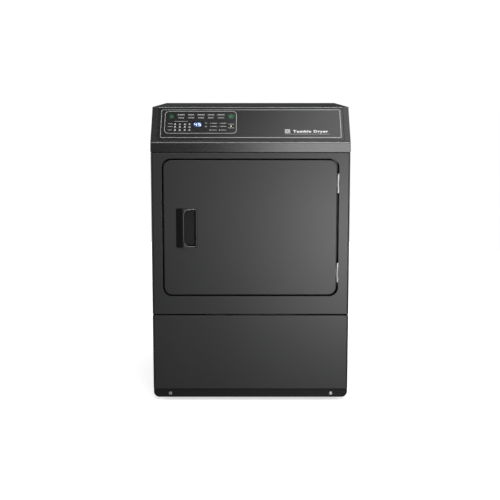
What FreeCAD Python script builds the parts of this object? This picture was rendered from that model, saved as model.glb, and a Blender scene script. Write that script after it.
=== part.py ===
import FreeCAD, Part
import math
import os
import Sketcher

# Front-control clothes dryer. X runs across the width, the door faces -Y, Z is up, millimetres.
# The origin is on the floor, under the middle of the overall box.

V = FreeCAD.Vector
doc = FreeCAD.newDocument("ClothesDryer")
sheet = doc.addObject("Spreadsheet::Sheet", "P")

SIZES = {
    # cabinet
    "width": 683.0,
    "front": -344.5,  # plane of the front panels
    "back": 307.5,  # outer face of the rear panel
    "half": 341.5,
    "skin": 1.0,
    "rim": 22.0,  # depth of the front panels' return flanges
    "corner": 8.0,  # radius of the front panels' upright edges
    "base_low": 13.0,
    "base_top": 42.0,
    "toe_setback": 7.0,
    "toe_corner": 20.0,
    "lower_low": 44.0,
    "lower_top": 309.0,
    "panel_low": 313.0,
    "panel_top": 877.0,
    "rail_low": 879.0,
    "rail_top": 912.0,
    "rail_lean": 8.0,
    "ledge": 22.0,
    "side_low": 43.0,
    "side_top": 1001.0,
    "side_start": 24.0,
    "top": 1030.0,
    "top_start": 104.0,
    # console slope
    "slope_y": -335.5,
    "slope_z": 915.0,
    "slope_run": 91.0,
    "slope_rise": 109.0,
    "slope_length": 141.99,
    "console_half": 321.0,
    "console_back": 118.0,
    "overlay_thick": 1.5,
    "key_travel": 0.8,
    # door and its recess
    "door_left": -298.5,
    "door_right": 296.5,
    "door_low": 382.5,
    "door_high": 851.5,
    "door_deep": 22.0,
    "door_radius": 27.0,
    "recess_half": 303.5,
    "recess_low": 377.5,
    "recess_high": 856.5,
    "recess_deep": 30.0,
    "recess_radius": 31.0,
    "hinge_x": 300.0,
    "hinge_y": -345.0,
    "knuckle": 3.0,
    "hinge_tall": 66.0,
    "hinge_low": 428.5,
    "hinge_high": 738.5,
    # throat between the door and the drum
    "throat_half": 220.0,
    "throat_low": 432.0,
    "throat_high": 802.0,
    "throat_radius": 100.0,
    # drum
    "drum_z": 617.0,
    "drum_out": 320.0,
    "drum_in": 319.0,
    "drum_front": -244.0,
    "drum_back": 270.0,
    "ring_out": 308.0,
    "bulkhead_front": -262.0,
    "bulkhead_back": 275.0,
    "roller_radius": 37.5,
    "roller_angle": 40.0,
    # drive and air path under the drum
    "shaft_x": 40.0,
    "shaft_z": 162.0,
    "pulley_radius": 13.0,
    "belt_y": 60.0,
    "belt_wide": 10.0,
    "belt_thick": 2.4,
    "idler_x": -50.0,
    "idler_z": 205.0,
    "idler_radius": 25.0,
    "pivot_x": -118.0,
    "pivot_z": 190.0,
    "blower_front": -255.0,
    "blower_back": -172.0,
    "blower_radius": 110.0,
    "exhaust_x": -190.0,
    "exhaust_z": 105.0,
    "exhaust_out": 50.8,
    "exhaust_in": 50.0,
    "exhaust_end": 352.5,
    "cord_x": 235.0,
    "cord_z": 190.0,
    "cord_hole": 14.3,
    # feet
    "foot_x": 290.0,
    "foot_front": -272.0,
    "foot_back": 255.0,
}
for row, (alias, size) in enumerate(SIZES.items(), start=1):
    sheet.set(f"A{row}", alias)
    sheet.set(f"B{row}", str(size))
    sheet.setAlias(f"B{row}", alias)
doc.recompute()

NORMAL = {"XY_Plane": 1, "XZ_Plane": -1, "YZ_Plane": 1}  # side of the plane that a sketch faces
CLEAR = 0.3  # gap left between curved faces of pieces that move past each other
finished = {}


def size(expression):
    """The number that an expression of the sheet's values gives."""
    return float(sheet.evalExpression(str(expression)))


def keep(label, thing):
    """Registers a finished sub-part, which is written to parts/LABEL.step."""
    thing.Label = label
    finished[label] = thing
    return thing


# ---------------------------------------------------------------- sketches and PartDesign features


def pin_point(sketch, geometry, point, x, y):
    """Ties one point of a sketch to the sheet by its two distances from the sketch's origin."""
    pair = [Sketcher.Constraint(name, -1, 1, geometry, point, size(expression))
            for name, expression in (("DistanceX", x), ("DistanceY", y))]
    first, second = sketch.addConstraint(pair)
    sketch.setExpression(f"Constraints[{first}]", str(x))
    sketch.setExpression(f"Constraints[{second}]", str(y))


def draw_polygon(sketch, points):
    first = sketch.GeometryCount
    count = len(points)
    spots = [V(size(x), size(y), 0) for x, y in points]
    for i in range(count):
        sketch.addGeometry(Part.LineSegment(spots[i], spots[(i + 1) % count]))
    for i in range(count):
        following = first + (i + 1) % count
        sketch.addConstraint(Sketcher.Constraint("Coincident", first + i, 2, following, 1))
        pin_point(sketch, first + i, 1, *points[i])


def draw_rectangle(sketch, x0, x1, y0, y1):
    draw_polygon(sketch, [(x0, y0), (x1, y0), (x1, y1), (x0, y1)])


def draw_circle(sketch, x, y, radius):
    spot = V(size(x), size(y), 0)
    at = sketch.addGeometry(Part.Circle(spot, V(0, 0, 1), size(radius)))
    pin_point(sketch, at, 3, x, y)
    limit = sketch.addConstraint(Sketcher.Constraint("Radius", at, size(radius)))
    sketch.setExpression(f"Constraints[{limit}]", str(radius))


def draw_rounded(sketch, x0, x1, y0, y1, radius):
    """A rectangle with four round corners: four arcs, then the four lines that join them.

    The radius is one for all corners, or four of them counter-clockwise from the top right."""
    first = sketch.GeometryCount
    radii = radius if isinstance(radius, tuple) else (radius,) * 4
    corners = ((x1, "-", y1, "-"), (x0, "+", y1, "-"), (x0, "+", y0, "+"), (x1, "-", y0, "+"))
    centres = [(f"{x} {sx} ({r})", f"{y} {sy} ({r})") for (x, sx, y, sy), r in zip(corners, radii)]
    spots = [V(size(x), size(y), 0) for x, y in centres]
    quarter = math.pi / 2
    for i, spot in enumerate(spots):
        circle = Part.Circle(spot, V(0, 0, 1), size(radii[i]))
        sketch.addGeometry(Part.ArcOfCircle(circle, i * quarter, (i + 1) * quarter))
    for i in range(4):
        out = V(math.cos((i + 1) * quarter), math.sin((i + 1) * quarter), 0)
        start, end = spots[i] + out * size(radii[i]), spots[(i + 1) % 4] + out * size(radii[(i + 1) % 4])
        sketch.addGeometry(Part.LineSegment(start, end))
    for i, (x, y) in enumerate(centres):
        pin_point(sketch, first + i, 3, x, y)
        limit = sketch.addConstraint(Sketcher.Constraint("Radius", first + i, size(radii[i])))
        sketch.setExpression(f"Constraints[{limit}]", str(radii[i]))
    for i in range(4):
        line = first + 4 + i
        sketch.addConstraint(Sketcher.Constraint("Tangent", first + i, 2, line, 1))
        sketch.addConstraint(Sketcher.Constraint("Tangent", line, 2, first + (i + 1) % 4, 1))


DRAW = {"poly": draw_polygon, "rect": draw_rectangle, "round": draw_rounded, "circle": draw_circle}


def new_body(label):
    body = doc.addObject("PartDesign::Body", label)
    return keep(label, body)


def new_sketch(body, plane, level, outlines):
    """A sketch on one of the body's own planes, moved to a level along the world axis it faces."""
    sketch = body.newObject("Sketcher::SketchObject", f"{body.Name}_outline")
    support = [f for f in body.Origin.OriginFeatures if f.Role == plane][0]
    sketch.AttachmentSupport = [(support, "")]
    sketch.MapMode = "FlatFace"
    sign = "" if NORMAL[plane] > 0 else "-1 * "
    sketch.setExpression("AttachmentOffset.Base.z", f"{sign}({level})")
    for kind, *numbers in outlines:
        DRAW[kind](sketch, *numbers)
    doc.recompute()
    return sketch


def feature(body, kind, plane, level, depth, toward, *outlines):
    """Pads or pockets outlines from a level, by a depth, toward +1 or -1 of the axis (0: both ways)."""
    before = body.Shape.Volume if body.Tip else 0.0
    sketch = new_sketch(body, plane, level, outlines)
    made = body.newObject(f"PartDesign::{kind}", f"{body.Name}_{kind}")
    made.Profile = sketch
    made.Refine = True
    made.setExpression("Length", str(depth))
    natural = NORMAL[plane] if kind == "Pad" else -NORMAL[plane]
    if toward == 0:
        made.SideType = "Symmetric"
    else:
        made.Reversed = natural != toward
    doc.recompute()
    change = body.Shape.Volume - before
    if (kind == "Pad") != (change > 0) or abs(change) < 1.0:
        raise RuntimeError(f"{body.Label}: {made.Name} changed the volume by {change:.1f}")
    return made


def pad(body, plane, level, depth, toward, *outlines):
    return feature(body, "Pad", plane, level, depth, toward, *outlines)


def pocket(body, plane, level, depth, toward, *outlines):
    """Pockets the outlines two to a sketch, since a crowded sketch solves slowly."""
    for i in range(0, len(outlines), 2):
        made = feature(body, "Pocket", plane, level, depth, toward, *outlines[i:i + 2])
    return made


def repeat(body, step, gap, count):
    """Repeats a feature upwards, count times, a gap apart."""
    pattern = body.newObject("PartDesign::LinearPattern", f"{body.Name}_row")
    pattern.Originals = [step]
    upright = [f for f in body.Origin.OriginFeatures if f.Role == "Z_Axis"][0]
    pattern.Direction = (upright, [""])
    pattern.Length = gap * (count - 1)
    pattern.Occurrences = count
    body.Tip = pattern
    doc.recompute()
    return pattern


def round_edges(body, radius, wanted, kind="Fillet"):
    """Fillets or chamfers those edges of the body's tip that wanted(edge) picks."""
    tip = body.Tip
    names = [f"Edge{i + 1}" for i, e in enumerate(tip.Shape.Edges) if wanted(e)]
    if not names:
        raise RuntimeError(f"{body.Label}: no edge to round")
    made = body.newObject(f"PartDesign::{kind}", f"{body.Name}_{kind}")
    made.Base = (tip, names)
    made.setExpression("Radius" if kind == "Fillet" else "Size", str(radius))
    doc.recompute()
    return made


def lies(edge, axis, value, slack=0.02):
    """True if the whole edge lies at that value of axis 0, 1 or 2."""
    box = edge.BoundBox
    low, high = ((box.XMin, box.XMax), (box.YMin, box.YMax), (box.ZMin, box.ZMax))[axis]
    return abs(low - value) < slack and abs(high - value) < slack


def runs(edge, axis):
    """True if a straight edge runs along axis 0, 1 or 2."""
    if not isinstance(edge.Curve, Part.Line):
        return False
    direction = edge.Curve.Direction
    return abs(abs((direction.x, direction.y, direction.z)[axis]) - 1) < 1e-6


# ---------------------------------------------------------------- Part primitives and booleans

TURN = {
    "X": FreeCAD.Rotation(V(0, 1, 0), 90),
    "Y": FreeCAD.Rotation(V(1, 0, 0), -90),
    "Z": FreeCAD.Rotation(),
}


def put(thing, x, y, z, rotation=None):
    if rotation is not None:
        thing.Placement = FreeCAD.Placement(V(0, 0, 0), rotation)
    for axis, expression in zip("xyz", (x, y, z)):
        thing.setExpression(f"Placement.Base.{axis}", str(expression))
    return thing


def box(name, x0, x1, y0, y1, z0, z1):
    made = doc.addObject("Part::Box", name)
    for side, low, high in (("Length", x0, x1), ("Width", y0, y1), ("Height", z0, z1)):
        made.setExpression(side, f"({high}) - ({low})")
    return put(made, x0, y0, z0)


def cylinder(name, axis, x, y, z, radius, length):
    """A cylinder that starts at a point and runs along +X, +Y or +Z."""
    made = doc.addObject("Part::Cylinder", name)
    made.setExpression("Radius", str(radius))
    made.setExpression("Height", str(length))
    return put(made, x, y, z, TURN[axis])


def cone(name, x, y, z, low, high, length):
    made = doc.addObject("Part::Cone", name)
    made.setExpression("Radius1", str(low))
    made.setExpression("Radius2", str(high))
    made.setExpression("Height", str(length))
    return put(made, x, y, z)


def cut(name, base, *tools):
    made = doc.addObject("Part::Cut", name)
    made.Base = base
    made.Tool = tools[0] if len(tools) == 1 else fuse(f"{name}_tools", *tools)
    return made


def fuse(name, *things):
    made = doc.addObject("Part::MultiFuse", name)
    made.Shapes = list(things)
    made.Refine = True
    return made


def group(name, *things):
    made = doc.addObject("Part::Compound", name)
    made.Links = list(things)
    return made


def tube(name, axis, x, y, z, outer, inner, length):
    whole = cylinder(f"{name}_outer", axis, x, y, z, outer, length)
    return cut(name, whole, cylinder(f"{name}_bore", axis, x, y, z, inner, length))


# ---------------------------------------------------------------- cabinet


def make_base():
    """A pressed tray whose two long lower edges are rolled under."""
    body = new_body("base_pan")
    side = "P.half - 0.5"
    toe = "P.front + P.toe_setback"
    wall = 1.5
    outline = ("round", f"-({side})", side, "P.base_low", "P.base_top",
               ("1.5", "1.5", "P.toe_corner", "P.toe_corner"))
    pad(body, "XZ_Plane", toe, f"P.back - ({toe})", 1, outline)
    inner = ("round", f"-({side}) + {wall}", f"{side} - {wall}", f"P.base_low + {wall}",
             "P.base_top + 20", ("3", "3", f"P.toe_corner - {wall}", f"P.toe_corner - {wall}"))
    pocket(body, "XZ_Plane", f"{toe} + {wall}", f"P.back - ({toe}) - {2 * wall}", 1, inner)
    stems = [("circle", x, y, "5") for x in ("-P.foot_x", "P.foot_x")
             for y in ("P.foot_front", "P.foot_back")]
    pocket(body, "XY_Plane", "P.base_low + 1.5", "1.5", -1, *stems)
    front = size(toe)
    round_edges(body, 1.0, lambda e: lies(e, 1, front))


def make_side(label, sign):
    """One side sheet: an upright plate with flanges turned inwards at its back and its foot."""
    body = new_body(label)
    outer, inner = f"{sign} * P.half", f"{sign} * (P.half - P.skin)"
    low_x, high_x = (inner, outer) if sign > 0 else (outer, inner)
    start = "P.front + P.side_start"
    step = "P.front + P.console_back + 0.5"
    plate = ("poly", [(start, "P.side_low"), ("P.back - 1.2", "P.side_low"),
                      ("P.back - 1.2", "P.side_top"), (step, "P.side_top"),
                      (step, "P.panel_top + 1"), (start, "P.panel_top + 1")])
    pad(body, "YZ_Plane", outer, "P.skin", -sign, plate)
    flange_low = ("rect", start, "P.back - 1.2", "P.side_low", "P.side_low + P.skin")
    flange_back = ("rect", "P.back - 2.4", "P.back - 1.2", "P.side_low", "P.side_top")
    flange_top = ("rect", step, "P.back - 1.2", "P.side_top - P.skin", "P.side_top")
    for flange in (flange_low, flange_back, flange_top):
        pad(body, "YZ_Plane", inner, "16", -sign, flange)
    edge = size(outer)
    tall = size("P.panel_top") - 60
    round_edges(body, 0.8, lambda e: lies(e, 0, edge) and e.BoundBox.ZLength > tall)


def make_rear_panel():
    body = new_body("rear_panel")
    side = "P.half - 0.6"
    pad(body, "XZ_Plane", "P.back - 1", "1", 1,
        ("rect", f"-({side})", side, "P.side_low", "P.side_top"))
    port = ("circle", "P.exhaust_x", "P.exhaust_z", "P.exhaust_out + 1.5")
    access = ("rect", "P.cord_x - 38", "P.cord_x + 38", "P.cord_z - 28", "P.cord_z + 28")
    slots = [("round", x - 32, x + 32, 857, 863, 2.9) for x in (-150, 150)]
    low_slot = ("round", 28, 92, 87, 93, 2.9)
    pocket(body, "XZ_Plane", "P.back - 1", "1", 1, port, access)
    repeat(body, pocket(body, "XZ_Plane", "P.back - 1", "1", 1, *slots), 16, 7)
    repeat(body, pocket(body, "XZ_Plane", "P.back - 1", "1", 1, low_slot), 16, 6)


def make_top_panel():
    """The top sheet: a rounded nose at its front, turned down on its other three sides."""
    body = new_body("top_panel")
    start = "P.front + P.top_start"
    low = "P.side_top + 0.5"
    pad(body, "XY_Plane", low, f"P.top - ({low})", 1,
        ("rect", "-P.half", "P.half", start, "P.back"))
    top, back = size("P.top"), size("P.back")
    round_edges(body, 5, lambda e: lies(e, 2, top) or runs(e, 2) and lies(e, 1, back))
    inside = ("round", "-P.half + P.skin", "P.half - P.skin", f"{start} + P.skin",
              "P.back - P.skin", "4")
    pocket(body, "XY_Plane", low, f"P.top - ({low}) - P.skin", 1, inside)
    nose = ("rect", "-P.half", "P.half", low, "1022")
    pocket(body, "XZ_Plane", f"{start} - 1", "P.skin + 1", 1, nose)


def front_pan(label, low, high):
    """A sheet front with its four edges turned back: rounded uprights, tighter top and foot."""
    body = new_body(label)
    pad(body, "XZ_Plane", "P.front", "P.rim", 1, ("rect", "-P.half", "P.half", low, high))
    front = size("P.front")
    round_edges(body, "P.corner", lambda e: lies(e, 1, front) and runs(e, 2))
    round_edges(body, 2.5, lambda e: lies(e, 1, front) and runs(e, 0))
    inside = ("rect", "-P.half + P.skin", "P.half - P.skin", f"{low} + P.skin", f"{high} - P.skin")
    pocket(body, "XZ_Plane", "P.front + P.rim", f"P.rim - P.corner", -1, inside)
    shrink = 5
    core = ("rect", f"-P.half + {shrink}", f"P.half - {shrink}", f"{low} + 2.5", f"{high} - 2.5")
    pocket(body, "XZ_Plane", "P.front + P.corner", f"P.corner - P.skin", -1, core)
    return body


def make_front_panel():
    body = front_pan("front_panel", "P.panel_low", "P.panel_top")
    edge = "P.skin"
    recess = ("-P.recess_half", "P.recess_half", "P.recess_low", "P.recess_high")
    around = [f"{recess[0]} - {edge}", f"{recess[1]} + {edge}",
              f"{recess[2]} - {edge}", f"{recess[3]} + {edge}"]
    level = "P.front + 0.6"
    pad(body, "XZ_Plane", level, "P.recess_deep + P.skin - 0.6", 1,
        ("round", *around, f"P.recess_radius + {edge}"))
    pocket(body, "XZ_Plane", "P.front", "P.recess_deep", 1, ("round", *recess, "P.recess_radius"))
    throat = ("round", "-P.throat_half", "P.throat_half", "P.throat_low", "P.throat_high",
              "P.throat_radius")
    slot = ("rect", "-270", "-256", "P.drum_z - 22", "P.drum_z + 22")
    pocket(body, "XZ_Plane", "P.front + P.recess_deep", "P.skin", 1, throat, slot)
    front = size("P.front")
    inside = size("P.recess_half") + 1
    round_edges(body, 0.5, lambda e: lies(e, 1, front) and abs(e.BoundBox.XMax) < inside
                and abs(e.BoundBox.XMin) < inside)


def make_lower_front():
    front_pan("lower_front_panel", "P.lower_low", "P.lower_top")


def make_feet():
    feet = []
    for i, (x, y) in enumerate((x, y) for x in ("-P.foot_x", "P.foot_x")
                               for y in ("P.foot_front", "P.foot_back")):
        rubber = cylinder(f"foot_pad_{i}", "Z", x, y, "0", "19", "6")
        flare = cone(f"foot_flare_{i}", x, y, "6", "19", "11", "4")
        stem = cylinder(f"foot_stem_{i}", "Z", x, y, "10", "4.9", "36")
        nut = doc.addObject("Part::Prism", f"foot_nut_{i}")
        nut.Polygon = 6
        nut.setExpression("Circumradius", "9")
        nut.setExpression("Height", "P.base_low - 10")
        put(nut, x, y, "10")
        feet.append(fuse(f"foot_{i}", rubber, flare, stem, nut))
    keep("levelling_feet", group("levelling_feet", *feet))


# ---------------------------------------------------------------- console


def on_slope(body):
    """Moves a body that is drawn flat onto the console's slope: X across, Y up the slope, Z out."""
    angle = math.degrees(math.atan2(size("P.slope_rise"), size("P.slope_run")))
    put(body, "0", "P.slope_y", "P.slope_z", FreeCAD.Rotation(V(1, 0, 0), angle))
    body.setExpression("Placement.Rotation.Angle", "atan(P.slope_rise / P.slope_run)")


# Push keys on the console: name, centre across, centre up the slope, width, height.
CYCLE_KEYS = [(f"cycle_key_{i + 1}", -240 + 34.3 * i, 105, 28, 21) for i in range(5)]
OPTION_KEYS = [(f"option_key_{2 * row + column + 1}", -127 + 32 * column, 75 - 13.5 * row, 27, 9)
               for row in range(2) for column in range(2)]
ARROW_KEYS = [("up_key", -153.5, 76, 12, 10), ("down_key", -153.5, 61, 12, 10)]
KEYS = [("power_key", -273, 105, 18, 21), *CYCLE_KEYS, ("start_key", -67, 105, 22, 21),
        *ARROW_KEYS, *OPTION_KEYS]
DISPLAY = (-199, -165, 57, 83)  # window in the overlay: across from, to, up the slope from, to


def key_holes(gap):
    return [("round", x - w / 2 - gap, x + w / 2 + gap, v - t / 2 - gap, v + t / 2 + gap, 2 + gap)
            for _, x, v, w, t in KEYS]


def make_rail():
    """The leaning metal band between the front panel and the console."""
    body = new_body("console_rail")
    lean, wall = "P.rail_lean", "2"
    profile = ("poly", [("P.front", "P.rail_low"), (f"P.front + {wall}", "P.rail_low"),
                        (f"P.front + {lean} + {wall}", f"P.rail_top - {wall}"),
                        ("P.front + P.ledge", f"P.rail_top - {wall}"),
                        ("P.front + P.ledge", "P.rail_top"), (f"P.front + {lean}", "P.rail_top")])
    pad(body, "YZ_Plane", "0", "2 * (P.half - 2.6)", 0, profile)
    top = size("P.rail_top")
    nose = size("P.front + P.rail_lean")
    round_edges(body, 5, lambda e: lies(e, 2, top) and lies(e, 1, nose))
    round_edges(body, 3, lambda e: lies(e, 2, top - 2) and lies(e, 1, nose + 2))


def make_end_cap(label, sign):
    """A moulded cheek that closes one end of the console."""
    body = new_body(label)
    back = "P.front + P.console_back"
    foot = [("P.front", "P.rail_low"), (back, "P.rail_low"), (back, "P.side_top - 0.3")]
    crown = [("P.front + P.top_start - 0.6", "P.side_top - 0.3"),
             ("P.front + P.top_start - 0.6", "P.top - 0.6"),
             ("P.front + 99.5", "P.top - 0.6"), ("P.front + 96.5", "P.top - 5.5")]
    slope = [("P.slope_y - 2.1", "P.slope_z + 1.2"), ("P.front + P.rail_lean", "P.rail_top + 0.4")]
    pad(body, "YZ_Plane", f"{sign} * P.half", "2.5", -sign, ("poly", foot + crown + slope))
    upper = [("P.front + P.rail_lean", "P.rail_top + 0.4"), (back, "P.rail_top + 0.4"),
             (back, "P.side_top - 0.3")]
    pad(body, "YZ_Plane", f"{sign} * (P.half - 2.5)", "17.7", -sign,
        ("poly", upper + crown + slope[:1]))
    edge = size(f"{sign} * P.half")
    low = size("P.rail_top + 2")
    round_edges(body, 2.4, lambda e: lies(e, 0, edge) and e.BoundBox.ZMin > low
                and min(e.BoundBox.ZLength, e.BoundBox.YLength) > 20)
    hollow = ("poly", [("P.front + 16", "P.rail_top + 3"), ("P.front + 115", "P.rail_top + 3"),
                       ("P.front + 115", "P.side_top - 4"), ("P.front + 92", "P.side_top - 4")])
    pocket(body, "YZ_Plane", f"{sign} * (P.half - 20.2)", "17.4", sign, hollow)


def make_fascia():
    """The console's moulded housing, with a hole for each key and for the display."""
    body = new_body("console_fascia")
    length = "P.slope_length"
    profile = ("poly", [("0", "0"), ("0", "-3"), (f"{length} - 3", "-3"), (f"{length} - 3", "-18"),
                        (length, "-18"), (length, "0")])
    pad(body, "YZ_Plane", "0", "2 * P.console_half", 0, profile)
    window = ("rect", *DISPLAY)
    pocket(body, "XY_Plane", "0", "3", -1, window, *key_holes(0.5))
    on_slope(body)


def make_overlay():
    """The dark control face that lies on the fascia."""
    body = new_body("control_overlay")
    pad(body, "XY_Plane", "0", "P.overlay_thick", 1,
        ("round", "-P.console_half + 3", "P.console_half - 3", "6", "139", "4"))
    pocket(body, "XY_Plane", "P.overlay_thick", "P.overlay_thick", -1,
           ("rect", *DISPLAY), *key_holes(0.5))
    face = size("P.overlay_thick")
    round_edges(body, 0.6, lambda e: lies(e, 2, face) and e.BoundBox.DiagonalLength > 100)
    on_slope(body)


def make_display():
    body = new_body("display_window")
    left, right, low, high = DISPLAY
    pad(body, "XY_Plane", "-2", "P.overlay_thick + 1.8", 1,
        ("rect", left + 0.2, right - 0.2, low + 0.2, high - 0.2))
    on_slope(body)


def make_key(label, x, v, wide, tall):
    """A key cap with a retaining flange behind the fascia."""
    body = new_body(label)
    proud = "P.overlay_thick + 0.8"
    cap = ("round", x - wide / 2, x + wide / 2, v - tall / 2, v + tall / 2, 2)
    flange = ("round", x - wide / 2 - 1.5, x + wide / 2 + 1.5, v - tall / 2 - 1.5,
              v + tall / 2 + 1.5, 2)
    pad(body, "XY_Plane", "-3.3", f"3.3 + {proud}", 1, cap)
    pad(body, "XY_Plane", "-4.3", "1", 1, flange)
    face = size(proud)
    round_edges(body, 0.5, lambda e: lies(e, 2, face))
    on_slope(body)


def make_board():
    body = new_body("control_board")
    pad(body, "XY_Plane", "-7.6", "1.6", 1, ("rect", -300, -48, 20, 126))
    pad(body, "XY_Plane", "-16", "8.4", 1, ("rect", -280, -250, 30, 60),
        ("rect", -180, -120, 34, 58), ("rect", -230, -200, 80, 110))
    on_slope(body)


# ---------------------------------------------------------------- door


def make_door_outer():
    body = new_body("door_outer_panel")
    pad(body, "XZ_Plane", "P.front", "P.door_deep", 1,
        ("round", "P.door_left", "P.door_right", "P.door_low", "P.door_high", "P.door_radius"))
    front = size("P.front")
    round_edges(body, 2.5, lambda e: lies(e, 1, front))
    inside = ("round", "P.door_left + P.skin", "P.door_right - P.skin", "P.door_low + P.skin",
              "P.door_high - P.skin", "P.door_radius - P.skin")
    pocket(body, "XZ_Plane", "P.front + P.door_deep", "P.door_deep - 2.5", -1, inside)
    core = ("round", "P.door_left + 3", "P.door_right - 3", "P.door_low + 3", "P.door_high - 3",
            "P.door_radius - 3")
    pocket(body, "XZ_Plane", "P.front + 2.5", "2.5 - P.skin", -1, core)
    pocket(body, "XZ_Plane", "P.front", "P.skin", 1,
           ("round", "-254.5", "-184.5", "P.drum_z - 66.5", "P.drum_z + 66.5", "7"))


PLUG = ("-205", "205", "P.throat_low + 15", "P.throat_high - 15")  # the door's plug, across and up


def make_door_inner():
    body = new_body("door_inner_panel")
    back = "P.front + P.door_deep"
    pad(body, "XZ_Plane", back, "P.skin", 1,
        ("round", "P.door_left + 1", "P.door_right - 1", "P.door_low + 1", "P.door_high - 1",
         "P.door_radius - 1"))
    pad(body, "XZ_Plane", f"{back} + P.skin", "21.3", 1, ("round", *PLUG, "88"))
    face = size(f"{back} + P.skin + 21.3")
    round_edges(body, 9, lambda e: lies(e, 1, face))
    inner = ("round", "-203", "203", "P.throat_low + 17", "P.throat_high - 17", "86")
    pocket(body, "XZ_Plane", back, "13", 1, inner)
    deeper = ("round", "-197", "197", "P.throat_low + 23", "P.throat_high - 23", "80")
    pocket(body, "XZ_Plane", f"{back} + 13", "7", 1, deeper)
    dish = ("round", "-140", "140", "P.throat_low + 80", "P.throat_high - 80", "55")
    pad(body, "XZ_Plane", f"{back} + 13", "7.2", 1, ("round", "-142", "142",
        "P.throat_low + 78", "P.throat_high - 78", "57"))
    pocket(body, "XZ_Plane", f"{back} + P.skin + 21.3", "7.3", -1, dish)


def make_door_seal():
    body = new_body("door_seal")
    back = "P.front + P.door_deep + P.skin"
    ring = ("round", "-242", "242", "P.throat_low - 22", "P.throat_high + 22", "120")
    bore = ("round", "-228", "228", "P.throat_low - 8", "P.throat_high + 8", "106")
    thick = "P.recess_deep - P.door_deep - P.skin - 0.3"
    pad(body, "XZ_Plane", back, thick, 1, ring)
    pocket(body, "XZ_Plane", back, thick, 1, bore)
    face = size(f"{back} + {thick}")
    round_edges(body, 2.4, lambda e: lies(e, 1, face))


def make_handle():
    """A moulded pull: a flange on the door, a ramp that rises over its left, and a finger cup."""
    body = new_body("door_handle")
    mid = "P.drum_z"
    pad(body, "XZ_Plane", "P.front", "1.5", -1,
        ("round", "-256", "-183", f"{mid} - 68", f"{mid} + 68", "5"))
    flange = size("P.front - 1.5")
    round_edges(body, 0.7, lambda e: lies(e, 1, flange))
    pad(body, "XZ_Plane", "P.front", "18.5", 1,
        ("round", "-253.8", "-185.2", f"{mid} - 65.8", f"{mid} + 65.8", "6.4"))
    ramp = [("-255.3", "P.front - 1.2"), ("-253.5", "P.front - 3.4"), ("-234", "P.front - 8"),
            ("-229", "P.front - 8"), ("-200", "P.front - 1.2")]
    pad(body, "XY_Plane", f"{mid} - 67.3", "134.6", 1, ("poly", ramp))
    cup = ("round", "-229.5", "-187", f"{mid} - 64.2", f"{mid} + 64.2", (5, 20, 24, 5))
    pocket(body, "XZ_Plane", "P.front - 9", "9 + 16.5", 1, cup)
    under = ("round", "-247", "-215", f"{mid} - 52", f"{mid} + 52", "12")
    pocket(body, "XZ_Plane", "P.front + 1", "15.5", 1, under)


def make_strike():
    keep("door_strike", fuse("door_strike",
         box("strike_blade", -263.5, -260.5, "P.front + P.door_deep + P.skin", "-297",
             "P.drum_z - 17", "P.drum_z + 17"),
         box("strike_foot", -278, -260.5, "P.front + P.door_deep + P.skin",
             "P.front + P.door_deep + P.skin + 2", "P.drum_z - 17", "P.drum_z + 17")))


def make_catch():
    case = box("catch_case", -278, -246, "P.front + P.recess_deep + P.skin", "-280",
               "P.drum_z - 30", "P.drum_z + 30")
    slot = box("catch_slot", -270, -256, "-320", "-284", "P.drum_z - 22", "P.drum_z + 22")
    keep("door_catch", cut("door_catch", case, slot))


def leaf(name, low, frame_side):
    """One hinge leaf with its knuckles: the frame's has the two outer ones, the door's the middle."""
    third, gap = 20, 0.4
    tall, x, y = "P.hinge_tall", "P.hinge_x", "P.hinge_y"
    if frame_side:
        plate = box(f"{name}_plate", f"{x} + 1.5", "P.recess_half", y, "P.front + 26",
                    low, f"{low} + {tall}")
        notch = box(f"{name}_notch", f"{x} - 4", f"{x} + 4", "P.front - 5", "P.front + 3.5",
                    f"{low} + {third}", f"{low} + {tall} - {third}")
        spans = [(low, third), (f"{low} + {tall} - {third}", third)]
        bore = 1.6
        notches = [notch]
    else:
        plate = box(f"{name}_plate", "P.door_right", f"{x} - 1.5", y, "P.front + 20",
                    low, f"{low} + {tall}")
        notches = [box(f"{name}_notch_{i}", f"{x} - 4", f"{x} + 4", "P.front - 5", "P.front + 3.5",
                       z, f"{z} + {third + gap}")
                   for i, z in enumerate((low, f"{low} + {tall} - {third + gap}"))]
        spans = [(f"{low} + {third + gap}", f"{tall} - {2 * (third + gap)}")]
        bore = 1.65
    plate = cut(f"{name}_cut", plate, *notches)
    knuckles = [cylinder(f"{name}_knuckle_{i}", "Z", x, y, z, "P.knuckle", long)
                for i, (z, long) in enumerate(spans)]
    solid = fuse(f"{name}_solid", plate, *knuckles)
    return cut(name, solid, cylinder(f"{name}_bore", "Z", x, y, f"{low} - 1", bore, f"{tall} + 2"))


def make_hinges():
    lows = ("P.hinge_low", "P.hinge_high")
    frames = [leaf(f"frame_leaf_{i}", low, True) for i, low in enumerate(lows)]
    doors = [leaf(f"door_leaf_{i}", low, False) for i, low in enumerate(lows)]
    pinned = [fuse(f"pinned_leaf_{i}", plate, cylinder(f"hinge_pin_{i}", "Z", "P.hinge_x",
              "P.hinge_y", low, 1.6, "P.hinge_tall")) for i, (plate, low) in enumerate(zip(frames, lows))]
    keep("frame_hinge_leaves", group("frame_hinge_leaves", *pinned))
    keep("door_hinge_leaves", group("door_hinge_leaves", *doors))


# ---------------------------------------------------------------- drum and its supports


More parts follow.
